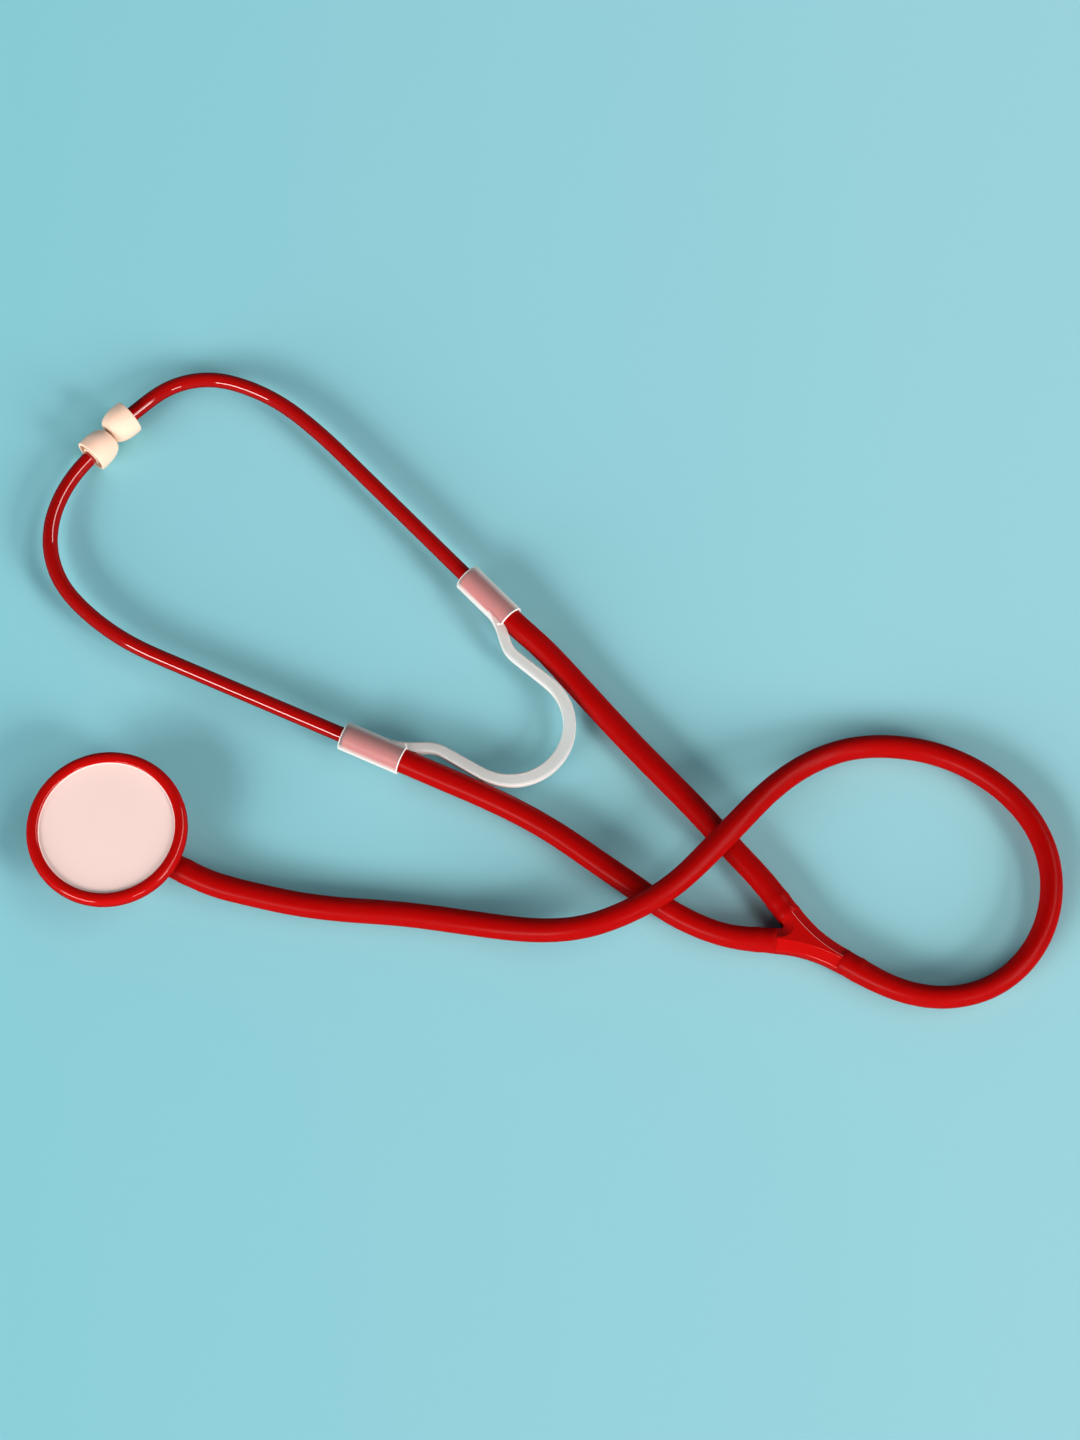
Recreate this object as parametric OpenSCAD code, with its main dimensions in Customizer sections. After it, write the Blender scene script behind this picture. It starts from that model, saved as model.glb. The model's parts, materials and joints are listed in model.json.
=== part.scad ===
// Toy stethoscope lying on a table: a working plastic chest piece, one hose that
// loops to a Y connector, two branch hoses, a springy plastic clip and two ear tubes.
// The origin is the middle of the chest piece's flat back, +Z is up, and the table is z = 0.
// "Right" is the side of the wearer's right ear, which lies away from the chest piece.

/* [Chest piece] */
// Outer diameter of the snap ring
ring_d = 43.8; // [42:0.1:52]
// Width of the ring seen from above, from its outside to the diaphragm
ring_w = 3.3; // [2.6:0.1:4]
// Height of the ring
ring_h = 4; // [3.6:0.1:5]
// Radius of the ring's rounded top edge
ring_round_r = 1.6; // [1:0.1:1.8]
// Height of the whole chest piece
chest_h = 12.2; // [12:0.1:15]
// Diameter of the flat back that lies on the table
back_d = 26; // [20:0.5:32]
// Chamfer round the flat back
back_chamfer = 0.6; // [0.3:0.1:1]
// Thickness of the flange that carries the diaphragm
flange_t = 1.2; // [1:0.1:1.6]
// Depth of the sound chamber in the middle
chamber_depth = 1.6; // [0.8:0.1:2]
// Diameter of the flat bottom of the sound chamber
chamber_floor_d = 7; // [5:0.5:12]
// Width of the seat round the chamber on which the diaphragm rests
seat_w = 2.5; // [1.5:0.1:3.5]
// Thickness of the diaphragm
diaphragm_t = 0.6; // [0.4:0.1:0.8]
// How far the diaphragm lies below the top of the ring
diaphragm_sink = 1; // [0.8:0.1:1.4]
// How far the ring reaches over the diaphragm, and under the flange
lip_w = 1; // [0.7:0.1:1.4]
// Height of the ring's inner edge above the diaphragm
lip_edge = 0.3; // [0.2:0.1:0.6]
// Running clearance between the ring and what it snaps over
snap_gap = 0.05; // [0.02:0.01:0.1]
// Height of the stem's axis above the back
stem_z = 4.4; // [4.2:0.1:4.6]
// Heading of the stem, measured from +X
stem_heading = -26; // [-40:1:-15]
// Distance of the hose's end face from the middle of the chest piece
stem_reach = 18.4; // [18.3:0.1:20]
// Diameter of the boss that the hose butts against
boss_d = 7.2; // [6.4:0.1:7.6]

/* [Hoses] */
// Outer diameter of the soft hoses
hose_d = 6.8; // [6.4:0.1:7]
// Bore of the soft hoses, measured over the corners of its facets
hose_bore_d = 4.52; // [4.46:0.01:4.6]
// Diameter of the nipples over their barbs
nipple_d = 4.3; // [4.1:0.01:4.34]
// Diameter of the nipples between their barbs
nipple_core_d = 3.6; // [3.2:0.1:3.8]
// Length of each nipple
nipple_len = 10; // [8:0.5:11]
// Length of one barb
barb_len = 5; // [2:0.1:5]
// Diameter of the sound passage through the nipples, the stem and the connector
passage_d = 2.2; // [1.6:0.1:2.6]

/* [Y connector] */
// Place of the point where the three arms meet, along X
y_x = 191.6; // [190:0.1:194]
// Place of the point where the three arms meet, along Y
y_y = -30.8; // [-32:0.1:-30]
// Heading of the arm that the single hose is pushed on
y_heading = -30; // [-34:1:-28]
// Angle between each branch arm and the connector's middle line
y_spread = 24; // [22:1:26]
// Length of the branch arms, from the meeting point to the hose's face
arm_len = 10; // [9.4:0.1:11]
// Length of the single arm, from the meeting point to the hose's face
trunk_len = 8.8; // [8:0.1:10]
// Width of the arms
arm_w = 6.4; // [6:0.1:7]
// Width of the crest along the arms, which slope from it to both sides like a roof
crest_w = 0.6; // [0.4:0.1:1.2]
// How far the arms' shoulders lie below their crest
shoulder_drop = 1.5; // [1:0.1:2]
// Radius of the connector's hollow flanks
flank_r = 36; // [20:1:36]
// Radius of the crotch between the branch arms
crotch_r = 0.9; // [0.5:0.1:1.2]
// Diameter of the round chamber in which the three passages meet
y_chamber_d = 5.6; // [5.4:0.1:6.4]
// Height of that chamber
y_chamber_h = 2.6; // [2.4:0.1:3]

/* [Spring clip] */
// Place of the left sleeve's mouth, along X
clip_x = 79.8; // [78:0.1:81]
// Place of the left sleeve's mouth, along Y
clip_y = 21.4; // [21:0.1:23]
// Heading of the left sleeve, towards its mouth
clip_heading = -24.1; // [-26:0.1:-23]
// Length of the sleeves
sleeve_len = 18; // [15:0.5:22]
// Outer diameter of the sleeves
sleeve_d = 8.2; // [7.8:0.1:9]
// Thickness of the end wall that the branch hose stops against
stop_t = 1; // [0.8:0.1:1.6]
// Clearance between the sleeves and what lies in them
sleeve_gap = 0.05; // [0.02:0.01:0.08]
// Height of the leaf
leaf_h = 3.2; // [2.6:0.1:4.5]
// Thickness of the leaf along its legs
leaf_leg_t = 2.8; // [2:0.1:3]
// Thickness of the leaf at the middle of its bow
leaf_bow_t = 3.6; // [2.6:0.1:3.8]
// Angle at which the leaf leaves a sleeve
leaf_root_angle = 27; // [24:0.5:32]
// Length of the leaf that is moulded along the sleeve
leaf_root_len = 5; // [3:0.5:6]
// Length of the leaf from the sleeve's mouth to its first bend
leaf_lead = 5.9; // [4:0.1:7]
// Radius of the bends that turn the leaf along the hoses
leaf_bend_r = 5.1; // [4:0.1:7]
// Angle of those bends
leaf_bend_angle = 33.7; // [31:0.1:37]
// Length of the straight legs
leaf_leg = 13.1; // [12:0.1:15]
// Radius of the bow
bow_r = 16.4; // [15:0.1:17.5]

/* [Ear tubes] */
// Height of the headset's middle plane above the table
headset_z = 5.1; // [5.1:0.1:5.6]
// Outer diameter of the ear tubes
ear_d = 4.3; // [4:0.01:4.34]
// Bore of the ear tubes
ear_bore_d = 2.4; // [1.8:0.1:2.8]
// How far the ear tubes are pushed into the sleeves
ear_insert = 12; // [8:0.5:15]
// Straight length of the right ear tube outside its sleeve
right_straight = 54; // [45:0.5:60]
// Radius of the right ear tube's first bend
right_first_r = 156; // [120:2:200]
// Angle of the right ear tube's first bend
right_first_angle = 6.3; // [4:0.1:9]
// Radius of the right ear tube's middle bend
right_middle_r = 53.4; // [45:0.1:65]
// Angle of the right ear tube's middle bend
right_middle_angle = 24; // [20:0.1:28]
// Radius of the right ear tube's last bend
right_last_r = 23.9; // [20:0.1:30]
// Angle of the right ear tube's last bend
right_last_angle = 59.4; // [55:0.1:65]
// Straight end of the right ear tube, up to its ear tip
right_end = 7.8; // [5:0.1:12]
// Straight length of the left ear tube outside its sleeve
left_straight = 59.4; // [50:0.1:65]
// Radius of the left ear tube's first bend
left_first_r = 70.7; // [60:0.1:90]
// Angle of the left ear tube's first bend
left_first_angle = 23.4; // [18:0.1:28]
// Radius of the left ear tube's middle bend
left_middle_r = 29.2; // [24:0.1:36]
// Angle of the left ear tube's middle bend
left_middle_angle = 57.2; // [52:0.1:62]
// Radius of the left ear tube's last bend
left_last_r = 39.8; // [32:0.1:50]
// Angle of the left ear tube's last bend
left_last_angle = 26.5; // [20:0.1:32]
// Straight end of the left ear tube, up to its ear tip
left_end = 1.3; // [1:0.1:6]

/* [Ear tips] */
// Diameter of the ear tips at their rim
tip_d = 10.2; // [9.2:0.1:10.2]
// Length of the ear tips
tip_len = 8.1; // [7:0.1:10]
// Diameter of the rounded nose's flat end
tip_nose_d = 5; // [3:0.1:6]
// Height of the straight band at the rim
tip_band = 2.4; // [1:0.1:3]
// Wall of the skirt
tip_wall = 0.9; // [0.6:0.1:1.2]
// Depth of the hollow under the skirt
tip_hollow = 3; // [2:0.1:3.6]
// Wall of the socket round the ear tube
tip_socket_wall = 0.7; // [0.5:0.1:1]
// How far the ear tube is pushed into the ear tip
tip_insert = 4.5; // [3:0.1:5.5]
// Diameter of the sound hole in the nose
tip_hole_d = 2; // [1.4:0.1:2.4]
// Gap between the middles of the two noses at rest, which lean towards each other
tip_gap = 0.65; // [0.6:0.05:1.5]

/* [Hidden] */
$fn = 64;
// Overrun of cuts past the surface they open
over = 1;
// Gap left between pieces of one moulding that are modelled apart
seam = 0.02;
// Sides of a swept hose and of a swept ear tube
hose_sides = 12;
ear_sides = 16;
// How far the swept part of an ear tube lies inside the wall of its cylinder
ear_inset = 0.05;
// How far the swept part starts before the cylinder's end
ear_lap = 0.3;
// Widest angle between points along a curved outline
arc_step = 8;
half_turn = 180;
quarter_turn = half_turn / 2;

// Poses in the plane of the table are [x, y, heading].
function ahead(p, s) = [p.x + s * cos(p.z), p.y + s * sin(p.z), p.z];
function aside(p, s) = [p.x - s * sin(p.z), p.y + s * cos(p.z), p.z];
function turned(p, a) = [p.x, p.y, p.z + a];
function bent(p, r, a) = let (k = sign(a)) aside(turned(aside(p, k * r), a), -k * r);
// A leg is [straight length, bend radius, bend angle].
function after(p, legs, i = 0) =
    i == len(legs) ? p : after(bent(ahead(p, legs[i][0]), legs[i][1], legs[i][2]), legs, i + 1);
function upto(list, n) = [for (i = [0:1:n - 1]) list[i]];
function reversed(list) = [for (i = [len(list) - 1:-1:0]) list[i]];
function on_plane(p, z) = [p.x, p.y, z];
// Even steps of angle that end exactly at it
function steps(angle) =
    let (n = ceil(abs(angle) / arc_step)) [for (i = [0:1:n]) angle * i / max(n, 1)];

// Chest piece: heights of its layers and radii of its seats
ring_z = chest_h - ring_h;
disc_top = chest_h - diaphragm_sink;
flange_top = disc_top - diaphragm_t;
flange_z = flange_top - flange_t;
opening_r = ring_d / 2 - ring_w;
disc_r = opening_r + lip_w;
neck_r = opening_r;
chamber_r = disc_r - seat_w;
chamber_z = flange_top - chamber_depth;
stem = [0, 0, stem_heading];

// Y connector
y_z = hose_d / 2;
hub = [y_x, y_y, y_heading];
trunk_face = ahead(hub, trunk_len);
right_arm_dir = turned(hub, half_turn - y_spread);
left_arm_dir = turned(hub, half_turn + y_spread);
right_arm_face = ahead(right_arm_dir, arm_len);
left_arm_face = ahead(left_arm_dir, arm_len);

// Ear tubes as legs, from the sleeve's outer end to the rim of the ear tip
right_ear_legs = [[right_straight, right_first_r, right_first_angle],
                  [0, right_middle_r, right_middle_angle],
                  [0, right_last_r, right_last_angle], [right_end, ear_d, 0]];
left_ear_legs = [[left_straight, left_first_r, -left_first_angle],
                 [0, left_middle_r, -left_middle_angle],
                 [0, left_last_r, -left_last_angle], [left_end, ear_d, 0]];

// The headset starts at the left sleeve's mouth. The bow closes until the ear tips nearly meet.
left_mouth = [clip_x, clip_y, clip_heading];
left_outer_end = turned(ahead(left_mouth, -sleeve_len), half_turn);
left_tip_rim = after(left_outer_end, left_ear_legs);
left_nose = ahead(left_tip_rim, tip_len);
// The leaf's middle line starts in the middle of the sleeve's wall.
root_offset = (sleeve_d + hose_d) / 4;
left_root = turned(aside(left_mouth, root_offset), leaf_root_angle);
bow_start = ahead(after(left_root, [[leaf_lead, leaf_bend_r, -leaf_bend_angle]]), leaf_leg);
bow_centre = aside(bow_start, bow_r);
// From the bow's end to the right sleeve's mouth and on to the nose of the right ear tip
function right_root_after(p) = ahead(after(p, [[leaf_leg, leaf_bend_r, -leaf_bend_angle]]), leaf_lead);
function mouth_after(root) = aside(turned(root, leaf_root_angle), -root_offset);
function outer_end_after(mouth) = ahead(mouth, sleeve_len);
function nose_after(p) =
    ahead(after(outer_end_after(mouth_after(right_root_after(p))), right_ear_legs), tip_len);
function angle_about(c, p) = atan2(p.y - c.y, p.x - c.x);
closed_nose = nose_after(bow_start);
nose_radius = norm([left_nose.x - bow_centre.x, left_nose.y - bow_centre.y]);
gap_angle = 2 * asin(tip_gap / 2 / nose_radius);
bow_angle = angle_about(bow_centre, left_nose) - angle_about(bow_centre, closed_nose) - gap_angle;
bow_end = bent(bow_start, bow_r, bow_angle);
right_root = right_root_after(bow_end);
right_mouth = mouth_after(right_root);
right_outer_end = outer_end_after(right_mouth);
right_tip_rim = after(right_outer_end, right_ear_legs);
// The point about which the two arms of a bow seem to turn when it is sprung open
bow_half = bow_angle / 2;
spread_pivot = aside(bent(bow_start, bow_r, bow_half), bow_r - bow_r * sin(bow_half) / (bow_half * PI / half_turn));

// Free routes of the hoses, between the stretches that are held straight by a nipple or a sleeve.
// The single hose loops back over both branches in one long low hump.
main_route = [[39.5, -16.7, 3.8], [52.5, -19.4, 3.4], [65.5, -21, 3.4], [78.5, -22, 3.4],
              [91.5, -23.6, 3.4], [104.5, -25.6, 3.8], [117.5, -27.4, 5.8], [130.5, -27, 8.6],
              [142.5, -23, 10.5], [154, -16, 10.7], [163.5, -7, 10.7], [172, 2, 10.3],
              [180.2, 10.8, 8.6], [191.2, 19.7, 5.8], [204, 25.2, 3.8], [218, 25.8, 3.4],
              [230.6, 22.8, 3.4], [242.5, 16.1, 3.4], [252, 6, 3.4], [257, -6.8, 3.4],
              [256.3, -21, 3.4], [250, -33.8, 3.4], [239.5, -42.4, 3.4], [226.5, -45.4, 3.4],
              [216, -43.8, 3.4]];
right_route = [[117.5, 56, 4.6], [126.5, 46.3, 3.7], [135.5, 35.9, 3.4], [144.6, 25.5, 3.4],
               [153.8, 15.5, 3.4], [162.9, 5.4, 3.4], [171.6, -4.8, 3.4]];
left_route = [[87, 18.3, 4.6], [99.2, 13.1, 3.7], [111, 7.4, 3.4], [122.3, 0.7, 3.4],
              [133.1, -7, 3.4], [143.8, -14.7, 3.4], [154.7, -22.3, 3.4], [163.5, -26.6, 3.4]];

// Straight stretches at the hoses' ends
held_len = nipple_len + hose_d / 4;
function held(face, z) = [on_plane(face, z), on_plane(ahead(face, held_len), z)];
stem_face = ahead(stem, stem_reach);
function in_sleeve(mouth, out) =
    [on_plane(ahead(mouth, -out * (sleeve_len - stop_t - seam)), headset_z),
     on_plane(ahead(mouth, out * hose_d / 4), headset_z)];
main_points = concat(held(stem_face, stem_z), main_route, reversed(held(trunk_face, y_z)));
left_points = concat(in_sleeve(left_mouth, 1), left_route, reversed(held(left_arm_face, y_z)));
right_points = concat(in_sleeve(right_mouth, -1), right_route, reversed(held(right_arm_face, y_z)));

// A hose is swept along its points, with its end faces square to its end runs.
function unit(v) = v / norm(v);
function tangent(pts, i) =
    i == 0 ? unit(pts[1] - pts[0]) :
    i == len(pts) - 1 ? unit(pts[i] - pts[i - 1]) :
    unit(unit(pts[i + 1] - pts[i]) + unit(pts[i] - pts[i - 1]));
function ring(c, t, r, m) =
    let (side = unit(cross([0, 0, 1], t)), up = cross(t, side))
    [for (k = [0:m - 1]) c + r * (cos(360 * k / m) * side + sin(360 * k / m) * up)];

module swept_tube(pts, od, id, m) {
    n = len(pts);
    outer = [for (i = [0:n - 1]) each ring(pts[i], tangent(pts, i), od / 2, m)];
    inner = [for (i = [0:n - 1]) each ring(pts[i], tangent(pts, i), id / 2, m)];
    skin = [for (i = [0:n - 2], k = [0:m - 1])
            let (a = i * m + k, b = i * m + (k + 1) % m)
            each [[a, b + m, b], [a, a + m, b + m]]];
    lining = [for (f = skin) [f[0] + n * m, f[2] + n * m, f[1] + n * m]];
    first = [for (k = [0:m - 1]) let (a = k, b = (k + 1) % m, w = n * m)
             each [[a, b + w, a + w], [a, b, b + w]]];
    last = [for (f = first) [f[0], f[2], f[1]] + (n - 1) * m * [1, 1, 1]];
    polyhedron(concat(outer, inner), concat(skin, lining, first, last));
}

module hose(pts) {
    swept_tube(pts, hose_d, hose_bore_d, hose_sides);
}

// Puts children drawn along +Z at a pose, pointing along its heading
module at(p, z) {
    translate([p.x, p.y, z]) rotate([0, quarter_turn, p.z]) children();
}

module barbed_nipple() {
    count = floor(nipple_len / barb_len);
    rise = nipple_len / count;
    rotate_extrude()
        polygon(concat([[0, -over], [nipple_core_d / 2, -over]],
                       [for (i = [0:count - 1])
                        each [[nipple_core_d / 2, i * rise], [nipple_d / 2, i * rise]]],
                       [[nipple_core_d / 2, nipple_len], [0, nipple_len]]));
}

// Points along legs, close enough in the bends for a swept tube
function bend_points(p, leg) =
    [for (a = steps(leg[2])) if (a != 0) bent(ahead(p, leg[0]), leg[1], a)];
function leg_points(p, legs) =
    [for (i = [0:1:len(legs) - 1]) each bend_points(after(p, upto(legs, i)), legs[i])];

// An ear tube: a true cylinder through its sleeve, and a swept tube through the bends.
// The swept tube starts inside the cylinder's wall and ends in the ear tip's socket.
module ear_tube(outer_end, legs, tip_rim) {
    straight = legs[0][0];
    bends = concat([ahead(outer_end, straight - ear_lap)], leg_points(outer_end, legs),
                   [ahead(tip_rim, tip_insert)]);
    difference() {
        at(ahead(outer_end, -ear_insert), headset_z) cylinder(d = ear_d, h = ear_insert + straight);
        at(ahead(outer_end, -ear_insert - over), headset_z)
            cylinder(d = ear_bore_d, h = ear_insert + straight + 2 * over);
    }
    swept_tube([for (p = bends) on_plane(p, headset_z)], ear_d - 2 * ear_inset,
               (ear_bore_d + 2 * ear_inset) / cos(half_turn / ear_sides), ear_sides);
}

module chest_body() {
    color("firebrick") difference() {
        union() {
            rotate_extrude(convexity = 4)
                polygon([[0, 0], [back_d / 2 - back_chamfer, 0], [back_d / 2, back_chamfer],
                         [neck_r - snap_gap - lip_w / 2, ring_z - back_chamfer],
                         [neck_r - snap_gap - lip_w / 2, flange_z], [disc_r, flange_z],
                         [disc_r, flange_top], [chamber_r, flange_top],
                         [chamber_floor_d / 2, chamber_z], [0, chamber_z]]);
            at(ahead(stem, back_d / 4), stem_z) cylinder(d = boss_d, h = stem_reach - back_d / 4);
            at(stem_face, stem_z) barbed_nipple();
        }
        at(stem, stem_z) cylinder(d = passage_d, h = stem_reach + nipple_len + over);
        translate([0, 0, stem_z]) cylinder(d = passage_d, h = chest_h);
    }
}

module rim_ring() {
    inside = disc_r + snap_gap;
    outside = ring_d / 2;
    foot = ring_round_r / 2;
    slope_w = ring_w - ring_round_r;
    slope_h = diaphragm_sink - lip_edge;
    color("firebrick") rotate_extrude(convexity = 4)
        polygon(concat([[neck_r, ring_z], [outside - foot, ring_z], [outside, ring_z + foot]],
                       [for (a = steps(quarter_turn))
                        [outside - ring_round_r * (1 - cos(a)), chest_h - ring_round_r * (1 - sin(a))]],
                       [for (a = steps(quarter_turn)) if (a > 0)
                        [opening_r + slope_w * (1 - sin(a)), chest_h - slope_h * (1 - cos(a))]],
                       [[opening_r, disc_top + snap_gap], [inside, disc_top + snap_gap],
                        [inside, flange_z - snap_gap], [neck_r, flange_z - snap_gap]]));
}

module diaphragm() {
    color("mistyrose") translate([0, 0, flange_top]) cylinder(r = disc_r, h = diaphragm_t);
}

module main_hose() {
    color("firebrick") hose(main_points);
}

module left_branch_hose() {
    color("firebrick") hose(left_points);
}

module right_branch_hose() {
    color("firebrick") hose(right_points);
}

// The connector's outline in its own frame, for a half width of its arms. The centres of the
// flanks' and the crotch's arcs stay where they are, so every half width gives as many points.
arm_angle = half_turn - y_spread;
flank_reach = min((flank_r + arm_w / 2) * tan(y_spread / 2), trunk_len - seam, arm_len - seam);
flank_far = flank_reach / tan(y_spread / 2);
crotch_reach = min((crotch_r + arm_w / 2) / tan(y_spread), arm_len - seam);
crotch_far = crotch_reach * tan(y_spread);
function arc(c, r, from, angle) =
    [for (a = steps(angle)) [c.x + r * cos(from + a), c.y + r * sin(from + a)]];
function y_outline(half) =
    let (end = arm_len * [cos(arm_angle), sin(arm_angle)],
         out = half * [sin(arm_angle), -cos(arm_angle)],
         flank = arc([flank_reach, flank_far], flank_far - half, -quarter_turn, -y_spread),
         upper = concat([[trunk_len, half]], flank, [end + out, end - out]),
         crotch = arc([-crotch_far / sin(y_spread), 0], crotch_far - half,
                      quarter_turn - y_spread, 2 * y_spread - half_turn))
    concat(upper, crotch, [for (p = reversed(upper)) [p.x, -p.y]]);

// The moulding slopes like a roof from its crests to its shoulders, above and below
module y_moulding() {
    half = arm_w / 2;
    levels = [[crest_w / 2, 0], [half, shoulder_drop],
              [half, hose_d - shoulder_drop], [crest_w / 2, hose_d]];
    m = len(y_outline(half));
    last = (len(levels) - 1) * m;
    polyhedron([for (v = levels) each [for (p = y_outline(v[0])) [p.x, p.y, v[1]]]],
               concat([for (j = [0:len(levels) - 2], k = [0:m - 1])
                       let (a = j * m + k, b = j * m + (k + 1) % m)
                       each [[a, a + m, b + m], [a, b + m, b]]],
                      [[for (k = [0:m - 1]) k]], [[for (k = [m - 1:-1:0]) last + k]]));
}

module y_connector() {
    middle = [0, 0, 0];
    branches = [turned(middle, arm_angle), turned(middle, -arm_angle)];
    color("firebrick") translate([y_x, y_y, 0]) rotate(y_heading) difference() {
        union() {
            y_moulding();
            at(ahead(middle, trunk_len), y_z) barbed_nipple();
            for (b = branches) at(ahead(b, arm_len), y_z) barbed_nipple();
        }
        // The three passages meet in a flat round chamber
        translate([0, 0, y_z]) cylinder(d = y_chamber_d, h = y_chamber_h, center = true);
        at(ahead(middle, y_chamber_d / 4), y_z)
            cylinder(d = passage_d, h = trunk_len + nipple_len);
        for (b = branches)
            at(ahead(b, y_chamber_d / 4), y_z) cylinder(d = passage_d, h = arm_len + nipple_len);
    }
}

// Points along the leaf as [x, y, heading, share of the bow passed]
function leaf_bend(p) = [for (a = steps(-leaf_bend_angle)) concat(bent(p, leaf_bend_r, a), [0])];
leaf_start = ahead(left_root, -leaf_root_len);
leaf_line = concat([concat(leaf_start, [0])],
                   leaf_bend(ahead(left_root, leaf_lead)),
                   [for (a = steps(bow_angle)) concat(bent(bow_start, bow_r, a), [a / bow_angle])],
                   leaf_bend(ahead(bow_end, leaf_leg)),
                   [concat(ahead(right_root, leaf_root_len), [0])]);
function leaf_half(share) = (leaf_leg_t + (leaf_bow_t - leaf_leg_t) * sin(half_turn * share)) / 2;
function leaf_side(k) = [for (q = leaf_line) let (s = aside(q, k * leaf_half(q[3]))) [s.x, s.y]];

// What the leaf leaves free: the sleeve, and the hose that comes out of its mouth
module sleeve_clear(mouth, out) {
    free = hose_d / 2 + sleeve_gap;
    at(ahead(mouth, out > 0 ? -sleeve_len : 0), headset_z)
        cylinder(r = sleeve_d / 2 + seam, h = sleeve_len);
    at(ahead(mouth, out > 0 ? -over : -leaf_root_len - leaf_lead), headset_z)
        cylinder(r = free, h = leaf_root_len + leaf_lead + over);
}

module clip_leaf() {
    color("gainsboro") difference() {
        translate([0, 0, headset_z - leaf_h / 2]) linear_extrude(leaf_h)
            polygon(concat(leaf_side(1), reversed(leaf_side(-1))));
        sleeve_clear(left_mouth, 1);
        sleeve_clear(right_mouth, -1);
    }
}

// A sleeve from its outer end wall to its mouth
module sleeve(outer_end) {
    at(turned(outer_end, half_turn), headset_z) difference() {
        cylinder(d = sleeve_d, h = sleeve_len);
        translate([0, 0, stop_t]) cylinder(r = hose_d / 2 + sleeve_gap, h = sleeve_len);
        translate([0, 0, -over]) cylinder(r = ear_d / 2 + sleeve_gap, h = stop_t + 2 * over);
    }
}

module left_clip_sleeve() {
    color("lightpink") sleeve(left_outer_end);
}

module right_clip_sleeve() {
    color("lightpink") sleeve(right_outer_end);
}

module left_ear_tube() {
    color("firebrick") ear_tube(left_outer_end, left_ear_legs, left_tip_rim);
}

module right_ear_tube() {
    color("firebrick") ear_tube(right_outer_end, right_ear_legs, right_tip_rim);
}

// Half outline of the domed ear tip, with its hollow skirt and its socket
module ear_tip() {
    r = tip_d / 2;
    nose_r = tip_nose_d / 2;
    dome = tip_len - tip_band;
    socket_r = ear_d / 2 + tip_socket_wall;
    rotate_extrude(convexity = 4) difference() {
        polygon(concat([[0, 0], [r, 0]],
                       [for (a = steps(quarter_turn))
                        [nose_r + (r - nose_r) * cos(a), tip_band + dome * sin(a)]],
                       [[0, tip_len]]));
        polygon([[socket_r, -over], [r - tip_wall, -over], [r - tip_wall, tip_hollow - tip_wall],
                 [r - 2 * tip_wall, tip_hollow], [socket_r, tip_hollow]]);
        translate([-over, -over]) square([ear_d / 2 + over, tip_insert + over]);
        translate([-over, -over]) square([tip_hole_d / 2 + over, tip_len + 2 * over]);
    }
}

module left_ear_tip() {
    color("moccasin") at(left_tip_rim, headset_z) ear_tip();
}

module right_ear_tip() {
    color("moccasin") at(right_tip_rim, headset_z) ear_tip();
}

chest_body();
rim_ring();
diaphragm();
main_hose();
y_connector();
left_branch_hose();
right_branch_hose();
clip_leaf();
left_clip_sleeve();
right_clip_sleeve();
left_ear_tube();
right_ear_tube();
left_ear_tip();
right_ear_tip();
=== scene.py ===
"""A toy stethoscope, put together as the real one is: hoses, Y connector, chest piece, clip and ear tubes."""

import json
import math

import bmesh
import bpy
import numpy as np
from mathutils import Matrix, Vector


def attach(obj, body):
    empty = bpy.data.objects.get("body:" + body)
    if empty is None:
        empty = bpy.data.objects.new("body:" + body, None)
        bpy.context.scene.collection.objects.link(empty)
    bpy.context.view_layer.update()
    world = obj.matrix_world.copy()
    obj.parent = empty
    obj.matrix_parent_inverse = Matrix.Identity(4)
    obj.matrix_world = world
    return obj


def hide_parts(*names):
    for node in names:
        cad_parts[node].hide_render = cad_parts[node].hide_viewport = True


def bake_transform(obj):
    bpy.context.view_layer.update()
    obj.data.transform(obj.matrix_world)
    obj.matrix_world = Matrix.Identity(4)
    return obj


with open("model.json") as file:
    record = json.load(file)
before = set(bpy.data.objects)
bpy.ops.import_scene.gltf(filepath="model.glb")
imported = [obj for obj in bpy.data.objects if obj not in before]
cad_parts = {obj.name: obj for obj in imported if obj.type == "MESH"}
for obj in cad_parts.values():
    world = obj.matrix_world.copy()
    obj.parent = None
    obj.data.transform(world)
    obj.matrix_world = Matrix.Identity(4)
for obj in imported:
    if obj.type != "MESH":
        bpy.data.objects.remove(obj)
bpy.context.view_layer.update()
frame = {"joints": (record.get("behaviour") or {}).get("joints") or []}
MM = 0.001

# The camera stands on the south side, above the table, and looks down twenty degrees off the vertical.
# It sees everything from the ear tips at the left to the hose's loop at the right.
LOOKED_AT = (117.87 * MM, 35.20 * MM, 0)
CAMERA_DISTANCE = 780 * MM
CAMERA_TILT = math.radians(20)

camera_data = bpy.data.cameras.new("camera")
camera_data.sensor_width = 36
camera_data.lens = 69.65
camera_data.clip_start = 0.01
camera = bpy.data.objects.new("camera", camera_data)
camera.rotation_euler = (CAMERA_TILT, 0, 0)
toward_camera = Vector((0, -math.sin(CAMERA_TILT), math.cos(CAMERA_TILT)))
camera.location = Vector(LOOKED_AT) + CAMERA_DISTANCE * toward_camera
bpy.context.scene.collection.objects.link(camera)
bpy.context.scene.camera = camera

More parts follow.
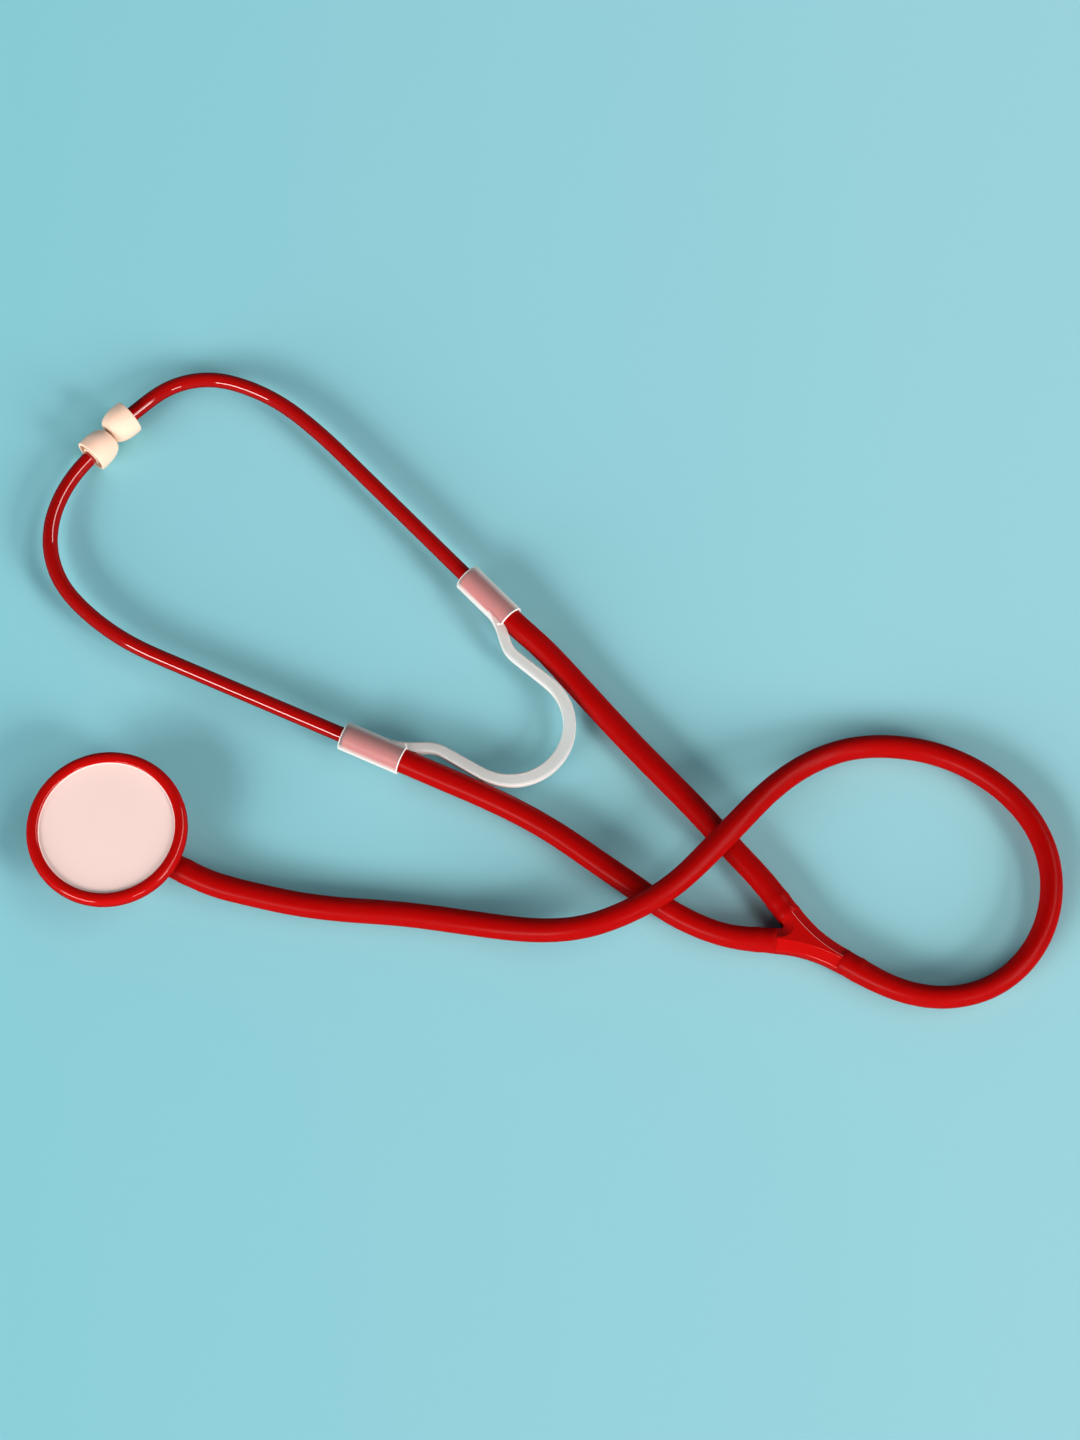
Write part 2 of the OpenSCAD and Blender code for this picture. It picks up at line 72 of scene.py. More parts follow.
# The main hose is soft red vinyl, extruded, and pushed over a barbed nipple at each end.
# It leaves the chest piece, lies on the table and loops back over the two branch hoses to the Y connector.
HOSE_D = 6.8
HOSE_BORE_D = 4.44
NIPPLE_LENGTH = 10
HELD_STRAIGHT = NIPPLE_LENGTH + HOSE_D / 4
BARBS_FROM_END = (0.4, 5.2)
BARB_SWELL = 0.13
BARB_WIDTH = 0.8
OVAL_PER_BEND = 3.4
BEND_RINGS = 15
BEND_EASE_RINGS = 9
ROUND_RINGS_AT_START = 26
ROUND_RINGS_AT_END = 12
HOSE_SIDES = 40
HOSE_EDGE_ROUND = 0.2
EDGE_RINGS = (0, 0.1, 0.3, 0.6, 1)
CURVE_STEPS = 40
EAST = np.array([1, 0, 0])
NORTH = np.array([0, 1, 0])
STEM_HEADING = -26
STEM_REACH = 18.4
STEM_HEIGHT = 4.4
HUB = (191.6, -30.8, -30)
HUB_HEIGHT = HOSE_D / 2
TRUNK_LENGTH = 8.8
MAIN_ROUTE = [
    (39.5, -16.7, 3.8), (52.5, -19.4, 3.4), (65.5, -21, 3.4), (78.5, -22, 3.4), (91.5, -23.6, 3.4),
    (104.5, -25.6, 3.8), (117.5, -27.4, 5.8), (130.5, -27, 8.6), (142.5, -23, 10.5), (154, -16, 10.7),
    (163.5, -7, 10.7), (172, 2, 10.3), (180.2, 10.8, 8.6), (191.2, 19.7, 5.8), (204, 25.2, 3.8),
    (218, 25.8, 3.4), (230.6, 22.8, 3.4), (242.5, 16.1, 3.4), (252, 6, 3.4), (257, -6.8, 3.4),
    (256.3, -21, 3.4), (250, -33.8, 3.4), (239.5, -42.4, 3.4), (226.5, -45.4, 3.4), (216, -43.8, 3.4),
]
HOSE_RED = (0.37, 0.0022, 0.002)
HOSE_RED_DEEP = (0.33, 0.0016, 0.0015)


def ahead(pose, distance):
    """The pose (x, y, heading) moved along its heading."""
    x, y, heading = pose
    a = math.radians(heading)
    return (x + distance * math.cos(a), y + distance * math.sin(a), heading)


def turned(pose, angle):
    """The pose turned on the spot."""
    return (pose[0], pose[1], pose[2] + angle)


def at_height(pose, height):
    """The pose's place in millimetres, at a height above the table."""
    return (pose[0], pose[1], height)


def held_run(face, height):
    """The two ends of the stretch that a nipple holds straight, from the hose's end face."""
    return [at_height(face, height), at_height(ahead(face, HELD_STRAIGHT), height)]


def smooth_route(points, spacing=1.0):
    """Even places, in metres, on the smooth curve through points given in millimetres."""
    p = np.array(points, float)
    chord = np.linalg.norm(np.diff(p, axis=0), axis=1)
    slope = np.diff(p, axis=0) / chord[:, None]
    count = len(p)
    system = np.eye(count)
    wanted = np.zeros((count, 3))
    wanted[0], wanted[-1] = slope[0], slope[-1]
    for i in range(1, count - 1):
        before, after = chord[i - 1], chord[i]
        system[i, i - 1 : i + 2] = after, 2 * (before + after), before
        wanted[i] = 3 * (after * slope[i - 1] + before * slope[i])
    tangent = np.linalg.solve(system, wanted)
    fine = []
    for i in range(count - 1):
        t = np.linspace(0, 1, CURVE_STEPS, endpoint=False)[:, None]
        fine.append((2 * t**3 - 3 * t**2 + 1) * p[i] + (3 * t**2 - 2 * t**3) * p[i + 1]
                    + chord[i] * ((t**3 - 2 * t**2 + t) * tangent[i] + (t**3 - t**2) * tangent[i + 1]))
    fine = np.vstack([*fine, p[-1:]])
    return evenly(fine * MM, spacing * MM)


def evenly(line, spacing):
    """The line's places, set evenly along it."""
    run = np.concatenate([[0], np.cumsum(np.linalg.norm(np.diff(line, axis=0), axis=1))])
    stops = np.linspace(0, run[-1], max(2, round(run[-1] / spacing) + 1))
    return np.stack([np.interp(stops, run, line[:, k]) for k in range(3)], axis=1)


def along_line(line):
    """How far each place lies along the line."""
    return np.concatenate([[0], np.cumsum(np.linalg.norm(np.diff(line, axis=0), axis=1))])


def set_square(line):
    """Unit directions along, across and upward at each place of a line."""
    along = np.gradient(line, axis=0)
    along /= np.linalg.norm(along, axis=1)[:, None]
    across = np.cross([0, 0, 1], along)
    across /= np.linalg.norm(across, axis=1)[:, None]
    return along, across, np.cross(along, across)


def mesh_of_rings(name, rings, joined_ends=False, capped_ends=False):
    """A smooth object skinned over rings of places, all with as many places as each other."""
    mesh = bmesh.new()
    rows = [[mesh.verts.new(place) for place in ring] for ring in rings]
    pairs = list(zip(rows, rows[1:]))
    if joined_ends:
        pairs.append((rows[-1], rows[0]))
    for low, high in pairs:
        for k in range(len(low)):
            after = (k + 1) % len(low)
            mesh.faces.new((low[k], low[after], high[after], high[k]))
    if capped_ends:
        mesh.faces.new(rows[0])
        mesh.faces.new(rows[-1])
    bmesh.ops.recalc_face_normals(mesh, faces=mesh.faces)
    data = bpy.data.meshes.new(name)
    mesh.to_mesh(data)
    mesh.free()
    data.shade_smooth()
    piece = bpy.data.objects.new(name, data)
    bpy.context.scene.collection.objects.link(piece)
    return piece


def hose_swell(run, ends):
    """How far the barbs of the nipples push a hose out along its run, in metres."""
    swell = np.zeros_like(run)
    for end in ends:
        for barb in BARBS_FROM_END:
            swell += BARB_SWELL * MM * np.exp(-(((np.abs(run - end) - barb * MM) / (BARB_WIDTH * MM)) ** 2))
    return swell


def bend_along(along, run):
    """How sharply a hose bends at each place of its run, evened out, and nil where it is held round."""
    flat = np.gradient(along[:, :2], run, axis=0)
    bend = np.convolve(np.linalg.norm(flat, axis=1), np.ones(BEND_RINGS) / BEND_RINGS, mode="same")
    bend[:ROUND_RINGS_AT_START] = bend[-ROUND_RINGS_AT_END:] = 0
    return np.convolve(bend, np.ones(BEND_EASE_RINGS) / BEND_EASE_RINGS, mode="same")


def ring_about(centre, across, up, wide, high, sides):
    """Places round an oval about a centre, from its half width across and its half height."""
    angles = np.linspace(0, 2 * math.pi, sides, endpoint=False)
    return [centre + wide * math.cos(a) * across + high * math.sin(a) * up for a in angles]


def hose(name, line, nipple_ends):
    """A hose with its bore: oval where it bends, swollen over the barbs, with rounded edges at its ends.

    Its extruded_lay says where each of its places lies on a straight hose of unit radius.
    """
    run = along_line(line)
    stops = np.array([HOSE_EDGE_ROUND * MM * k for k in EDGE_RINGS])
    run_fine = np.concatenate([stops, run[1:-1][run[1:-1] > 2 * stops[-1]][:-1], (run[-1] - stops)[::-1]])
    line = np.stack([np.interp(run_fine, run, line[:, k]) for k in range(3)], axis=1)
    ends = [0 if end == "start" else run_fine[-1] for end in nipple_ends]
    along, across, up = set_square(line)
    bend = bend_along(along, run_fine)
    from_end = np.minimum(run_fine, run_fine[-1] - run_fine) / (HOSE_EDGE_ROUND * MM)
    edge = 1 - np.sqrt(np.clip(1 - np.clip(1 - from_end, 0, 1) ** 2, 0, 1))
    radius = HOSE_D / 2 * MM + hose_swell(run_fine, ends) - HOSE_EDGE_ROUND * MM * edge
    wide = radius * (1 - OVAL_PER_BEND * MM * bend)
    high = radius * (1 + OVAL_PER_BEND * MM * bend / 3)
    centres = line + np.stack([np.zeros_like(high), np.zeros_like(high), high - HOSE_D / 2 * MM], axis=1)
    bore = np.full_like(wide, HOSE_BORE_D / 2 * MM)
    places = list(range(len(centres)))
    rings, grain = [], []
    for order, half_width, half_height in ((places, wide, high), (places[::-1], bore, bore)):
        for i in order:
            rings.append(ring_about(centres[i], across[i], up[i], half_width[i], half_height[i], HOSE_SIDES))
            grain += ring_about(np.array([0, 0, run_fine[i] / MM]), EAST, NORTH, 1, 1, HOSE_SIDES)
    piece = mesh_of_rings(name, rings, joined_ends=True)
    lay = piece.data.attributes.new("extruded_lay", "FLOAT_VECTOR", "POINT")
    lay.data.foreach_set("vector", np.array(grain, np.float32).ravel())
    piece.data.set_sharp_from_angle(angle=math.radians(50))
    return piece, centres


def node(material, kind, inputs, **settings):
    """A shader node, set, and wired to what its inputs name."""
    made = material.node_tree.nodes.new(kind)
    for key, value in settings.items():
        setattr(made, key, value)
    for socket, value in inputs.items():
        if isinstance(value, bpy.types.NodeSocket):
            material.node_tree.links.new(value, made.inputs[socket])
        else:
            made.inputs[socket].default_value = value
    return made


def finish(name, inputs):
    """A new material with its Principled shader set, and the shader itself."""
    material = bpy.data.materials.new(name)
    material.use_nodes = True
    shader = material.node_tree.nodes["Principled BSDF"]
    for socket, value in inputs.items():
        shader.inputs[socket].default_value = value
    return material, shader


def blotched(material, shader, tones, patch, place):
    """Colour that drifts between two tones over patches of that size in millimetres."""
    cloud = node(material, "ShaderNodeTexNoise", {"Vector": place, "Scale": 1 / (patch * MM), "Detail": 3})
    tone = node(material, "ShaderNodeMix", {"Factor": cloud.outputs["Fac"], "A": (*tones[0], 1),
                                           "B": (*tones[1], 1)}, data_type="RGBA")
    material.node_tree.links.new(tone.outputs["Result"], shader.inputs["Base Color"])
    return cloud


def rough_between(material, shader, source, low, high):
    """Roughness that drifts between two values with a pattern."""
    drift = node(material, "ShaderNodeMapRange", {"Value": source, "To Min": low, "To Max": high})
    material.node_tree.links.new(drift.outputs["Result"], shader.inputs["Roughness"])


def relief(material, shader, height, strength, depth):
    """Fine relief on a material's surface from a pattern, as deep as that in millimetres."""
    bump = node(material, "ShaderNodeBump", {"Height": height, "Strength": strength, "Distance": depth * MM})
    material.node_tree.links.new(bump.outputs["Normal"], shader.inputs["Normal"])
    return bump


def soft_vinyl():
    """Satin red vinyl with the faint lengthwise lines of extrusion and a fine skin."""
    material, shader = finish("soft_vinyl", {
        "IOR": 1.5, "Specular IOR Level": 0.12, "Subsurface Weight": 0.5, "Subsurface Scale": 3 * MM,
        "Subsurface Radius": (1, 0.04, 0.03)})
    place = node(material, "ShaderNodeTexCoord", {}).outputs["Object"]
    cloud = blotched(material, shader, (HOSE_RED, HOSE_RED_DEEP), 14, place)
    rough_between(material, shader, cloud.outputs["Fac"], 0.26, 0.34)
    lay = node(material, "ShaderNodeAttribute", {}, attribute_name="extruded_lay")
    drawn = node(material, "ShaderNodeMapping", {"Vector": lay.outputs["Vector"], "Scale": (5, 5, 0.03)})
    lines = node(material, "ShaderNodeTexNoise", {"Vector": drawn.outputs["Vector"], "Scale": 1, "Detail": 2})
    skin = node(material, "ShaderNodeTexNoise", {"Vector": place, "Scale": 1400, "Detail": 3})
    ridges = relief(material, shader, lines.outputs["Fac"], 0.05, 0.03)
    grained = relief(material, shader, skin.outputs["Fac"], 0.2, 0.02)
    material.node_tree.links.new(ridges.outputs["Normal"], grained.inputs["Normal"])
    return material


VINYL = soft_vinyl()
stem_face = ahead((0, 0, STEM_HEADING), STEM_REACH)
trunk_face = ahead(HUB, TRUNK_LENGTH)
main_line = smooth_route(
    held_run(stem_face, STEM_HEIGHT) + MAIN_ROUTE + held_run(trunk_face, HUB_HEIGHT)[::-1])
main_hose, main_path = hose("main_vinyl_hose", main_line, ("start", "end"))
main_hose.data.materials.append(VINYL)
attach(main_hose, "hoses_and_clip")
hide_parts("main_hose")

# The two branch hoses are cut from the same vinyl. Each runs from a nipple of the Y connector into a sleeve
# of the clip, where the ear tube is pushed into it. The right one's mesh is baked where it lies, in no body.
ARM_SPREAD = 24
ARM_LENGTH = 10
SLEEVE_LENGTH = 18
SLEEVE_STOP = 1
RIGHT_ROUTE = [
    (117.5, 56, 4.6), (126.5, 46.3, 3.7), (135.5, 35.9, 3.4), (144.6, 25.5, 3.4), (153.8, 15.5, 3.4),
    (162.9, 5.4, 3.4), (171.6, -4.8, 3.4),
]
LEFT_ROUTE = [
    (87, 18.3, 4.6), (99.2, 13.1, 3.7), (111, 7.4, 3.4), (122.3, 0.7, 3.4), (133.1, -7, 3.4),
    (143.8, -14.7, 3.4), (154.7, -22.3, 3.4), (163.5, -26.6, 3.4),
]
HELD_IN_SLEEVE = (SLEEVE_STOP, SLEEVE_LENGTH * 0.6, SLEEVE_LENGTH + HOSE_D / 4)

joints = {joint["name"]: joint for joint in frame["joints"]}


def sleeve_end(joint, toward_ear):
    """The pose, in millimetres, of a sleeve's outer end, heading out to the ear tube."""
    x, y, _ = (value / MM for value in joints[joint]["pos_m"])
    out = Vector(joints[joint]["axis"]) * toward_ear
    return (x, y, math.degrees(math.atan2(out.y, out.x)))


HEADSET_HEIGHT = joints["left_ear_turn"]["pos_m"][2] / MM
SLEEVE_ENDS = {"left": sleeve_end("left_ear_turn", -1), "right": sleeve_end("right_ear_turn", 1)}
branch_paths = {}
branch_hoses = {}
for side, route, spread in (("left", LEFT_ROUTE, ARM_SPREAD), ("right", RIGHT_ROUTE, -ARM_SPREAD)):
    sleeve = SLEEVE_ENDS[side]
    in_sleeve = [at_height(ahead(sleeve, -depth), HEADSET_HEIGHT) for depth in HELD_IN_SLEEVE]
    arm_face = ahead(turned(HUB, 180 + spread), ARM_LENGTH)
    line = smooth_route(in_sleeve + route + held_run(arm_face, HUB_HEIGHT)[::-1])
    branch, branch_paths[side] = hose(side + "_vinyl_branch", line, ("end",))
    branch.data.materials.append(VINYL)
    branch_hoses[side] = branch
    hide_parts(side + "_branch_hose")
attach(branch_hoses["left"], "hoses_and_clip")
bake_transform(branch_hoses["right"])

# The Y connector is one glossy red moulding. Its arms slope like a roof from a narrow raised crest, whose
# side turned to the north-east carries a painted highlight in pale red. Its three barbed nipples sit inside
# the hoses, which butt against its end faces.
ARM_WIDTH = 6.4
ARM_HEIGHT = HOSE_D
CREST_WIDTH = 0.6
SHOULDER_DROP = 1.5
SHOULDER_EASE = 0.7
CREST_BEAD = 0.25
CREST_BEAD_HALF = 0.5
CREST_BEAD_SLOPE = 0.05
CREST_BEAD_ROUND = 0.2
FLANK_CURVE = 36
CROTCH_CURVE = 0.9
NIPPLE_D = 4.3
NIPPLE_CORE_D = 3.6
NIPPLE_BARBS = 2
BARB_RISE = 0.1
NIPPLE_ROOT = 1
PASSAGE_D = 2.2
GLOSS_RED = (0.47, 0.0045, 0.0035)
GLOSS_RED_DEEP = (0.42, 0.003, 0.0028)
# Painted highlight: the pale red painted on the crest's side that faces north-east.
CREST_PAINTED_HIGHLIGHT = (0.95, 0.42, 0.38)
CREST_HIGHLIGHT_SIDE = math.radians(45)
CREST_HIGHLIGHT_REACH = 0.85
CREST_FOOT = 0.02
CREST_FLAT = 0.95


def eased(corners, closed=True, steps=5):
    """The corners (x, y, rounding) of an outline, each turned into an arc of its rounding's radius."""
    outline = []
    count = len(corners)
    for i, (x, y, radius) in enumerate(corners):
        here = Vector((x, y))
        if radius == 0 or (not closed and i in (0, count - 1)):
            outline.append((x, y))
            continue
        before = (Vector(corners[i - 1][:2]) - here).normalized()
        after = (Vector(corners[(i + 1) % count][:2]) - here).normalized()
        half = before.angle(after) / 2
        first, last = here + before * radius / math.tan(half), here + after * radius / math.tan(half)
        weight = math.sin(half)
        for k in range(steps + 1):
            t = k / steps
            parts = ((1 - t) ** 2, 2 * weight * t * (1 - t), t**2)
            place = (parts[0] * first + parts[1] * here + parts[2] * last) / sum(parts)
            outline.append(tuple(place))
    return outline


def lathe(name, profile, segments=96):
    """A closed piece turned about +Z from a profile of (radius, height) in millimetres."""
    rings = []
    for k in range(segments):
        a = 2 * math.pi * k / segments
        rings.append([(r * math.cos(a) * MM, r * math.sin(a) * MM, z * MM) for r, z in profile])
    piece = mesh_of_rings(name, rings, joined_ends=True)
    tidy = bmesh.new()
    tidy.from_mesh(piece.data)
    bmesh.ops.remove_doubles(tidy, verts=tidy.verts, dist=0.002 * MM)
    bmesh.ops.dissolve_degenerate(tidy, edges=tidy.edges, dist=0.002 * MM)
    bmesh.ops.recalc_face_normals(tidy, faces=tidy.faces)
    tidy.to_mesh(piece.data)
    tidy.free()
    return piece


def pointed(pose, height):
    """The matrix that lays a piece drawn along +Z at a pose and height in millimetres."""
    turn = Matrix.Rotation(math.radians(pose[2]), 4, "Z") @ Matrix.Rotation(math.pi / 2, 4, "Y")
    return Matrix.Translation(Vector(at_height(pose, height)) * MM) @ turn


def laid(piece, pose, height):
    """The piece with its mesh moved to that pose."""
    piece.data.transform(pointed(pose, height))
    return piece


def carved(piece, other, operation):
    """The piece joined with (UNION) or cut by (DIFFERENCE) another closed one, which goes."""
    tool = piece.modifiers.new("carve", "BOOLEAN")
    tool.operation = operation
    tool.object = other
    tool.solver = "EXACT"
    shape = bpy.data.meshes.new_from_object(piece.evaluated_get(bpy.context.evaluated_depsgraph_get()))
    piece.modifiers.clear()
    piece.data = shape
    bpy.data.objects.remove(other)
    return piece


def creased(piece, degrees):
    """The piece smooth-shaded, but for edges sharper than that."""
    piece.data.shade_smooth()
    piece.data.set_sharp_from_angle(angle=math.radians(degrees))
    return piece


def barbed_nipple():
    """A nipple along +Z whose barbs slope towards its tip, with a root to sink in what bears it."""
    step = NIPPLE_LENGTH / NIPPLE_BARBS
    core = NIPPLE_CORE_D / 2
    profile = [(0, -NIPPLE_ROOT, 0), (core, -NIPPLE_ROOT, 0)]
    for k in range(NIPPLE_BARBS):
        profile += [(core, k * step, 0.05), (NIPPLE_D / 2, k * step + BARB_RISE, 0.1)]
    profile += [(core, NIPPLE_LENGTH, 0.2), (0, NIPPLE_LENGTH, 0)]
    return lathe("nipple", eased(profile, closed=False, steps=3), 40)


def bar(name, width, start, length, segments=40):
    """A plain round bar along +Z, to cut or join with."""
    end = start + length
    return lathe(name, [(0, start), (width / 2, start), (width / 2, end), (0, end)], segments)


def y_outline(half):
    """The connector's outline in its own plane for a half width, with curved flanks and a tight crotch."""
    inset = ARM_WIDTH / 2 - half
    arm = (math.cos(math.radians(180 - ARM_SPREAD)), math.sin(math.radians(180 - ARM_SPREAD)))
    out = (arm[1], -arm[0])
    end = (ARM_LENGTH * arm[0], ARM_LENGTH * arm[1])
    outer = (end[0] + half * out[0], end[1] + half * out[1])
    inner = (end[0] - half * out[0], end[1] - half * out[1])
    run = (outer[1] - half) / arm[1]
    flank = (outer[0] - run * arm[0], half)
    crotch = (inner[0] - inner[1] / arm[1] * arm[0], 0)
    upper = [(TRUNK_LENGTH, half, 0), (*flank, FLANK_CURVE + inset), (*outer, 0), (*inner, 0)]
    lower = [(x, -y, r) for x, y, r in reversed(upper)]
    return eased([*upper, (*crotch, CROTCH_CURVE + inset), *lower], steps=16)


def glossy_moulding():
    """Hard glossy red plastic as it comes from a polished mould, with faint ripples in its gloss."""
    material, shader = finish("glossy_moulding", {"IOR": 1.55})
    place = node(material, "ShaderNodeTexCoord", {}).outputs["Object"]
    cloud = blotched(material, shader, (GLOSS_RED, GLOSS_RED_DEEP), 12, place)
    rough_between(material, shader, cloud.outputs["Fac"], 0.09, 0.14)
    ripple = node(material, "ShaderNodeTexNoise", {"Vector": place, "Scale": 260, "Detail": 2})
    relief(material, shader, ripple.outputs["Fac"], 0.15, 0.02)
    return material


def painted_crest_highlight():
    """A painted highlight: pale red painted on one side of the connector's crest, standing in for the light
    its polish catches.
    """
    return finish("painted_crest_highlight", {"Base Color": (*CREST_PAINTED_HIGHLIGHT, 1), "Roughness": 0.2})[0]


GLOSS = glossy_moulding()
slope_across = (ARM_WIDTH - CREST_WIDTH) / 2
bead_foot = ARM_WIDTH / 2 - CREST_BEAD_HALF
levels = eased([(slope_across, 0, 0), (0, SHOULDER_DROP, SHOULDER_EASE),
                (0, ARM_HEIGHT - SHOULDER_DROP, SHOULDER_EASE), (bead_foot, ARM_HEIGHT - CREST_BEAD_SLOPE, 0),
                (bead_foot + CREST_BEAD_SLOPE, ARM_HEIGHT + CREST_BEAD, CREST_BEAD_ROUND),
                (slope_across, ARM_HEIGHT + CREST_BEAD, 0)], closed=False)
y_rings = [[(x * MM, y * MM, z * MM) for x, y in y_outline(ARM_WIDTH / 2 - inset)] for inset, z in levels]
y_connector = mesh_of_rings("y_moulding", y_rings, capped_ends=True)
arm_poses = [((0, 0, 0), TRUNK_LENGTH), ((0, 0, 180 - ARM_SPREAD), ARM_LENGTH),
             ((0, 0, 180 + ARM_SPREAD), ARM_LENGTH)]
for middle, length in arm_poses:
    carved(y_connector, laid(barbed_nipple(), ahead(middle, length), HUB_HEIGHT), "UNION")
for middle, length in arm_poses:
    passage = bar("passage", PASSAGE_D, 0.5, length + NIPPLE_LENGTH)
    carved(y_connector, laid(passage, middle, HUB_HEIGHT), "DIFFERENCE")
y_connector.data.transform(Matrix.Translation((HUB[0] * MM, HUB[1] * MM, 0))
                           @ Matrix.Rotation(math.radians(HUB[2]), 4, "Z"))
creased(y_connector, 20)
y_connector.data.materials.clear()
y_connector.data.materials.append(GLOSS)
y_connector.data.materials.append(painted_crest_highlight())
# The crest faces that turn towards the north-east get the painted highlight.
for face in y_connector.data.polygons:
    turn = math.atan2(face.normal.y, face.normal.x) - CREST_HIGHLIGHT_SIDE
    on_crest = face.center.z > (ARM_HEIGHT + CREST_FOOT) * MM and face.normal.z < CREST_FLAT
    if on_crest and math.cos(turn) > CREST_HIGHLIGHT_REACH:
        face.material_index = 1
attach(y_connector, "hoses_and_clip")
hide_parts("y_connector")

# The chest piece's body is a moulded red dish with a flat back. It has a shallow sound chamber on top,
# and a stem at its side that ends in the nipple for the main hose.
CHEST_HEIGHT = 12.2
RING_D = 43.8
RING_WIDTH = 3.3
RING_HEIGHT = 4
BACK_D = 26
BACK_FLARE = (3.6, 3.4)
DISH_UNDER_RING = 0.6
DISC_SINK = 1
DISC_THICK = 0.6
DISC_LIP = 1
FLANGE_THICK = 1.2
BOSS_D = 7.2
SNAP_GAP = 0.05
CHAMBER_DEPTH = 1.6
CHAMBER_LEDGE = 2.5
CHAMBER_FLOOR_R = 3.5
opening_r = RING_D / 2 - RING_WIDTH
disc_r = opening_r + DISC_LIP
disc_top = CHEST_HEIGHT - DISC_SINK
flange_top = disc_top - DISC_THICK
flange_low = flange_top - FLANGE_THICK
ring_low = CHEST_HEIGHT - RING_HEIGHT
dish_r = opening_r - SNAP_GAP - DISC_LIP / 2
chamber_floor = flange_top - CHAMBER_DEPTH
dish = eased([(0, 0, 0), (BACK_D / 2, 0, 0.8), (BACK_D / 2 + BACK_FLARE[0], BACK_FLARE[1], 3),
              (dish_r, ring_low - DISH_UNDER_RING, 1.2), (dish_r, flange_low, 0),
              (disc_r, flange_low, 0.1), (disc_r, flange_top, 0.1), (disc_r - CHAMBER_LEDGE, flange_top, 0.2),
              (CHAMBER_FLOOR_R, chamber_floor, 1), (0, chamber_floor, 0)], closed=False)
stem = (0, 0, STEM_HEADING)
chest_body = lathe("chest_dish", dish, 160)
boss = eased([(0, BACK_D / 4, 0), (BOSS_D / 2, BACK_D / 4, 0), (BOSS_D / 2, STEM_REACH, 0.35),
              (0, STEM_REACH, 0)], closed=False)
carved(chest_body, laid(lathe("boss", boss, 64), stem, STEM_HEIGHT), "UNION")
carved(chest_body, laid(barbed_nipple(), stem_face, STEM_HEIGHT), "UNION")
carved(chest_body, laid(bar("passage", PASSAGE_D, 0, STEM_REACH + NIPPLE_LENGTH + 1), stem, STEM_HEIGHT),
       "DIFFERENCE")
carved(chest_body, bar("sound_hole", PASSAGE_D, STEM_HEIGHT, CHEST_HEIGHT), "DIFFERENCE")
creased(chest_body, 40)
chest_body.data.materials.clear()
chest_body.data.materials.append(GLOSS)
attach(chest_body, "chest_piece")
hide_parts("chest_body")

# The snap ring is a glossy red moulding with a rounded top. It snaps over the dish's flange and holds
# the diaphragm down under its inner edge.
RING_ROUND = 1.7
LIP_EDGE = 0.3
RING_FOOT = 0.8


def quarter(centre, half_widths, start, steps=12):
    """A quarter of an ellipse about a centre, from a starting angle in degrees, turning left."""
    places = []
    for k in range(steps + 1):
        a = math.radians(start + 90 * k / steps)
        places.append((centre[0] + half_widths[0] * math.cos(a), centre[1] + half_widths[1] * math.sin(a)))
    return places


slope_w = RING_WIDTH - RING_ROUND
slope_h = DISC_SINK - LIP_EDGE
ring_profile = [
    *eased([(opening_r, ring_low, 0), (RING_D / 2 - RING_FOOT, ring_low, 0.3),
            (RING_D / 2, ring_low + RING_FOOT, 0.5), (RING_D / 2, CHEST_HEIGHT - RING_ROUND, 0)],
           closed=False)[:-1],
    *quarter((RING_D / 2 - RING_ROUND, CHEST_HEIGHT - RING_ROUND), (RING_ROUND, RING_ROUND), 0),
    *quarter((opening_r + slope_w, disc_top + LIP_EDGE), (slope_w, slope_h), 90)[1:],
    *eased([(opening_r, disc_top + LIP_EDGE, 0), (opening_r, disc_top + SNAP_GAP, 0.12),
            (disc_r + SNAP_GAP, disc_top + SNAP_GAP, 0), (disc_r + SNAP_GAP, flange_low - SNAP_GAP, 0),
            (opening_r, flange_low - SNAP_GAP, 0.1), (opening_r, ring_low, 0)], closed=False)[1:-1],
]
rim_ring = creased(lathe("snap_ring", ring_profile, 224), 40)
rim_ring.data.materials.append(GLOSS)
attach(rim_ring, "chest_piece")
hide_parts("rim_ring")

# The diaphragm is a thin stiff sheet of off-white plastic, cut round and clamped under the snap ring.
# It turns up slightly at its border, where the ring pinches it.
DISC_FILLET = 0.45
DISC_TURN_UP = 0.22
DISC_EDGE_PAST = 0.1
DISC_SAG = 0.05
DISC_FILLET_STEPS = 6
DISC_DISH = ((0.7, 0.06), (0.35, 0.03), (0, 0.03))
SHEET_WHITE = (0.95, 0.76, 0.715)
SHEET_WHITE_WARM = (0.93, 0.725, 0.675)


def clamped_sheet():
    """Satin off-white sheet with a barely uneven, fine-grained surface."""
    material, shader = finish("clamped_sheet", {"IOR": 1.49})
    place = node(material, "ShaderNodeTexCoord", {}).outputs["Object"]
    cloud = blotched(material, shader, (SHEET_WHITE, SHEET_WHITE_WARM), 14, place)
    rough_between(material, shader, cloud.outputs["Fac"], 0.42, 0.52)
    grain = node(material, "ShaderNodeTexNoise", {"Vector": place, "Scale": 1800, "Detail": 2})
    relief(material, shader, grain.outputs["Fac"], 0.2, 0.01)
    return material


disc_edge = opening_r + DISC_EDGE_PAST
disc_fillet = []
for k in range(1, DISC_FILLET_STEPS + 1):
    share = k / DISC_FILLET_STEPS
    rise = (DISC_TURN_UP + DISC_SAG) * (1 - share) ** 2
    disc_fillet.append((disc_edge - DISC_FILLET * share, disc_top - DISC_SAG + rise))
disc_profile = [
    (0, flange_top), *eased([(disc_r, flange_top, 0.1), (disc_r, disc_top, 0.1)], closed=False),
    (disc_edge, disc_top + DISC_TURN_UP),
    *disc_fillet,
    *[(disc_edge * share, disc_top - sink) for share, sink in DISC_DISH],
]
diaphragm = creased(lathe("diaphragm_sheet", disc_profile, 160), 50)
diaphragm.data.materials.append(clamped_sheet())
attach(diaphragm, "chest_piece")
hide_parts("diaphragm")

